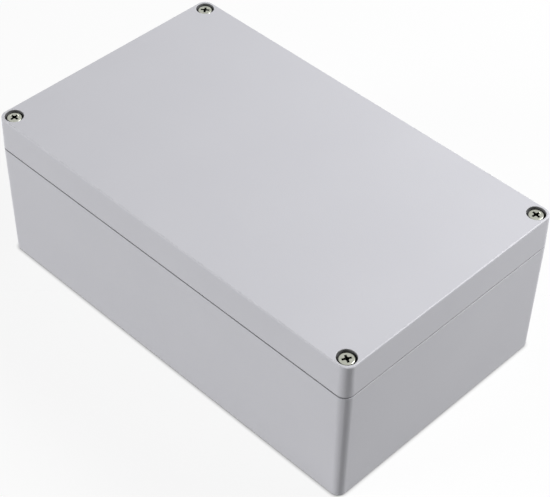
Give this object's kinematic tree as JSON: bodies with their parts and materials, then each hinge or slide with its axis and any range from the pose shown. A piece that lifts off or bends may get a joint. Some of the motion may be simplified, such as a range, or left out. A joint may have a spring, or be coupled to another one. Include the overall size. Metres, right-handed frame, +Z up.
{
  "type": "plastic enclosure",
  "caption": "Rectangular light grey plastic enclosure with a flat gasketed lid held by captive corner screws, for housing circuit boards.",
  "frame": {"origin": "middle of the underside of the base", "axes": "+X along the length, +Y across the width towards the back, +Z up through the lid"},
  "size_m": [0.2, 0.12, 0.075],
  "materials": {
    "shell": "fine satin moulded",
    "gasket": "matt",
    "steel": "plain",
    "brass": "turned",
    "nylon": "natural"
  },
  "bodies": {
    "base": {"base": "shell", "insert_front_left": "brass", "insert_front_right": "brass", "insert_back_left": "brass", "insert_back_right": "brass"},
    "lid": {"lid": "shell", "gasket": "gasket"},
    "retainer_front_left": {"retainer_front_left": "nylon"},
    "screw_front_left": {"screw_front_left": "steel"},
    "retainer_front_right": {"retainer_front_right": "nylon"},
    "screw_front_right": {"screw_front_right": "steel"},
    "retainer_back_left": {"retainer_back_left": "nylon"},
    "screw_back_left": {"screw_back_left": "steel"},
    "retainer_back_right": {"retainer_back_right": "nylon"},
    "screw_back_right": {"screw_back_right": "steel"}
  },
  "joints": [
    {"name": "lid_lift", "type": "slide", "parent": "base", "child": "lid", "axis": [0, 0, 1], "range_m": [0, 0.1]},
    {"name": "screw_rise_front_left", "type": "slide", "parent": "lid", "child": "retainer_front_left", "axis": [0, 0, 1], "range_m": [0, 0.008]},
    {"name": "screw_turn_front_left", "type": "hinge", "parent": "retainer_front_left", "child": "screw_front_left", "pos_m": [-0.0947, -0.0547, 0.06], "axis": [0, 0, 1], "range_deg": [0, 4114.29]},
    {"name": "screw_rise_front_right", "type": "slide", "parent": "lid", "child": "retainer_front_right", "axis": [0, 0, 1], "range_m": [0, 0.008]},
    {"name": "screw_turn_front_right", "type": "hinge", "parent": "retainer_front_right", "child": "screw_front_right", "pos_m": [0.0947, -0.0547, 0.06], "axis": [0, 0, 1], "range_deg": [0, 4114.29]},
    {"name": "screw_rise_back_left", "type": "slide", "parent": "lid", "child": "retainer_back_left", "axis": [0, 0, 1], "range_m": [0, 0.008]},
    {"name": "screw_turn_back_left", "type": "hinge", "parent": "retainer_back_left", "child": "screw_back_left", "pos_m": [-0.0947, 0.0547, 0.06], "axis": [0, 0, 1], "range_deg": [0, 4114.29]},
    {"name": "screw_rise_back_right", "type": "slide", "parent": "lid", "child": "retainer_back_right", "axis": [0, 0, 1], "range_m": [0, 0.008]},
    {"name": "screw_turn_back_right", "type": "hinge", "parent": "retainer_back_right", "child": "screw_back_right", "pos_m": [0.0947, 0.0547, 0.06], "axis": [0, 0, 1], "range_deg": [0, 4114.29]}
  ],
  "couplings": [
    {"joint": "screw_turn_front_left", "follows": "screw_rise_front_left", "rad_per_m": 8976},
    {"joint": "screw_turn_front_right", "follows": "screw_rise_front_right", "rad_per_m": 8976},
    {"joint": "screw_turn_back_left", "follows": "screw_rise_back_left", "rad_per_m": 8976},
    {"joint": "screw_turn_back_right", "follows": "screw_rise_back_right", "rad_per_m": 8976}
  ]
}
